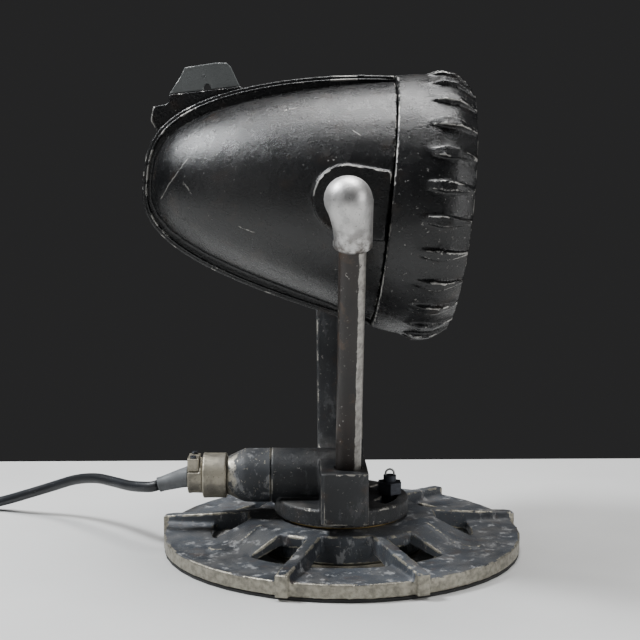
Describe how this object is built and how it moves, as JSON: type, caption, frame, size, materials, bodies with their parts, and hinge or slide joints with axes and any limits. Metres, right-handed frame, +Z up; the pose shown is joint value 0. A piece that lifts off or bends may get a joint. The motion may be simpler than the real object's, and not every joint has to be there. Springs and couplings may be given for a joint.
{
  "type": "fresnel spotlight",
  "caption": "Vintage cast spotlight: a bullet-shaped head with a ribbed lens ring tilts between two arms on a turret that turns on a round ribbed floor base, with a plug-in supply lead.",
  "frame": {"origin": "centre of the base's underside, on the floor", "axes": "+X the way the lamp shines, +Y away from the plain tube arm, +Z up along the turning axis"},
  "size_m": [0.6715, 0.33, 0.4426],
  "materials": {
    "worn_paint_casting": "blue-grey paint on cast aluminium, worn to bare metal on ribs and rim",
    "black_paint_casting": "black semi-gloss grainy paint on cast aluminium, chipped on edges",
    "black_paint_steel": "black paint on steel tube, worn to bare metal in patches",
    "bare_aluminium": "bare cast aluminium, dull and slightly yellowed",
    "bright_aluminium": "bare cast aluminium, rubbed bright with brown stains low down",
    "grey_aluminium": "grey oxidised aluminium plate",
    "dark_steel": "dark oxidised steel",
    "bright_steel": "plain zinc-plated steel",
    "worn_brass": "worn brass",
    "black_rubber": "black rubber",
    "grey_rubber": "grey rubber",
    "cord_rubber": "black-grey rubber cord with pale specks",
    "dark_insulation": "dark moulded insulation",
    "white_ceramic": "white glazed ceramic",
    "clear_glass": "clear glass",
    "lens_glass": "clear pressed glass with stepped rings",
    "mirror_metal": "polished metal mirror"
  },
  "bodies": {
    "base": {"base_casting": "worn_paint_casting", "base_pad": "black_rubber", "hub_cover": "bare_aluminium", "hub_cover_screw_1": "dark_steel", "hub_cover_screw_2": "dark_steel", "thrust_washer": "worn_brass", "azimuth_stud": "dark_steel", "split_pin": "bright_steel", "cord_tube": "cord_rubber", "cord_coil": "cord_rubber", "plug_body": "black_rubber", "plug_pin_1": "worn_brass", "plug_pin_2": "worn_brass"},
    "turret": {"turret_casting": "black_paint_casting", "pivot_bolt": "dark_steel", "pivot_nut": "dark_steel", "near_arm": "black_paint_steel", "near_elbow": "bright_aluminium", "arm_set_screw": "dark_steel", "elbow_set_screw": "dark_steel", "near_trunnion_pin": "dark_steel", "far_trunnion": "dark_steel", "tilt_lock_nut": "dark_steel", "arm_cable": "black_rubber", "inlet_barrel": "bare_aluminium", "inlet_insert": "dark_insulation", "contact_pin_1": "worn_brass", "contact_pin_2": "worn_brass", "contact_pin_3": "worn_brass", "connector_body": "bare_aluminium", "connector_insert": "dark_insulation", "clamp_saddle": "bare_aluminium", "clamp_screw_1": "dark_steel", "clamp_screw_2": "dark_steel", "strain_relief": "grey_rubber"},
    "head": {"head_shell_near": "black_paint_casting", "head_shell_far": "black_paint_casting", "shell_gasket": "black_rubber", "shell_screw_1": "dark_steel", "shell_screw_2": "dark_steel", "shell_screw_3": "dark_steel", "shell_screw_4": "dark_steel", "sight_plate": "grey_aluminium", "plate_screw_1": "dark_steel", "plate_screw_2": "dark_steel", "near_bush": "worn_brass", "far_bush": "worn_brass", "reflector": "mirror_metal", "holder_bracket": "bright_steel", "bracket_screw": "dark_steel", "lampholder": "white_ceramic", "lamp_cap": "worn_brass", "lamp_bulb": "clear_glass", "head_cable": "black_rubber"},
    "lens_ring": {"lens_ring": "black_paint_casting", "fresnel_lens": "lens_glass", "lens_gasket": "black_rubber", "lens_clip": "bright_steel"},
    "coupling_ring": {"coupling_ring": "bare_aluminium"},
    "azimuth_nut": {"azimuth_nut": "dark_steel"}
  },
  "joints": [
    {"name": "azimuth", "type": "hinge", "parent": "base", "child": "turret", "pos_m": [0, 0, 0.031], "axis": [0, 0, 1], "range_deg": [-35, 35]},
    {"name": "tilt", "type": "hinge", "parent": "turret", "child": "head", "pos_m": [0, 0, 0.3215], "axis": [0, -1, 0], "range_deg": [-14.5, 85]},
    {"name": "lens_ring_turn", "type": "hinge", "parent": "head", "child": "lens_ring", "pos_m": [0, 0, 0.3215], "axis": [0.9954, 0, -0.0958], "range_deg": [0, 30]},
    {"name": "coupling_ring_turn", "type": "hinge", "parent": "turret", "child": "coupling_ring", "pos_m": [-0.117, 0, 0.066], "axis": [1, 0, 0], "range_deg": [-60, 60]},
    {"name": "azimuth_nut_turn", "type": "hinge", "parent": "base", "child": "azimuth_nut", "pos_m": [0.045, 0, 0.0538], "axis": [0, 0, 1], "continuous": true}
  ]
}
